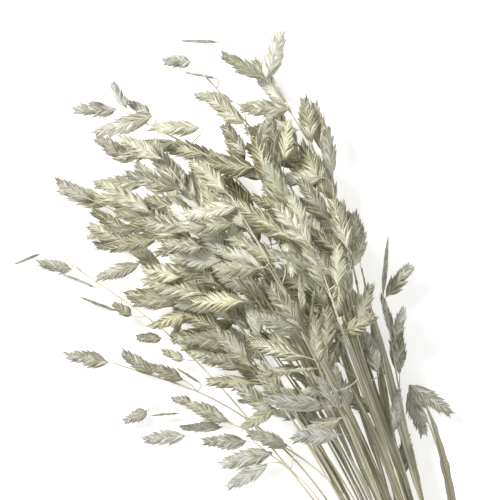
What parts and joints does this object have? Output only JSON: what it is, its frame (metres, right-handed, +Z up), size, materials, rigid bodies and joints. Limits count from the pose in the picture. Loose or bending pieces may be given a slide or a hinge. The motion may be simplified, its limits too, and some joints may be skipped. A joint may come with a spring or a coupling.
{
  "type": "dried northern sea oats bunch",
  "caption": "Tied bunch of dried northern sea oats, laid down: thin fanned stems, nodding heads of flat saw-edged spikelets in silvery straw beige, and long narrow leaf blades.",
  "frame": {"origin": "middle of the lying bunch's box, on the surface it lies on", "axes": "+Y runs from the cut ends to the heads, +Z is up, +X is across the bunch"},
  "size_m": [0.275, 0.7, 0.1195],
  "materials": {
    "straw": "satin dried husk, silvery straw beige with fine lengthwise striations",
    "tie": "matt tan elastic band"
  },
  "bodies": {
    "root": {"far_left_chain": "straw", "left_bend": "straw", "left_cluster": "straw", "left_edge": "straw", "low_spray": "straw", "lower_left_nod": "straw", "lowest_spray": "straw", "nodding_01": "straw", "nodding_02": "straw", "nodding_03": "straw", "nodding_04": "straw", "nodding_05": "straw", "nodding_06": "straw", "nodding_07": "straw", "nodding_08": "straw", "nodding_09": "straw", "nodding_10": "straw", "nodding_11": "straw", "nodding_12": "straw", "nodding_13": "straw", "nodding_14": "straw", "nodding_15": "straw", "nodding_16": "straw", "nodding_17": "straw", "nodding_18": "straw", "nodding_19": "straw", "right_droop": "straw", "right_edge": "straw", "right_fork": "straw", "short_middle": "straw", "thin_arch": "straw", "tie": "tie", "top_left": "straw", "top_middle": "straw", "top_right": "straw"}
  },
  "joints": []
}
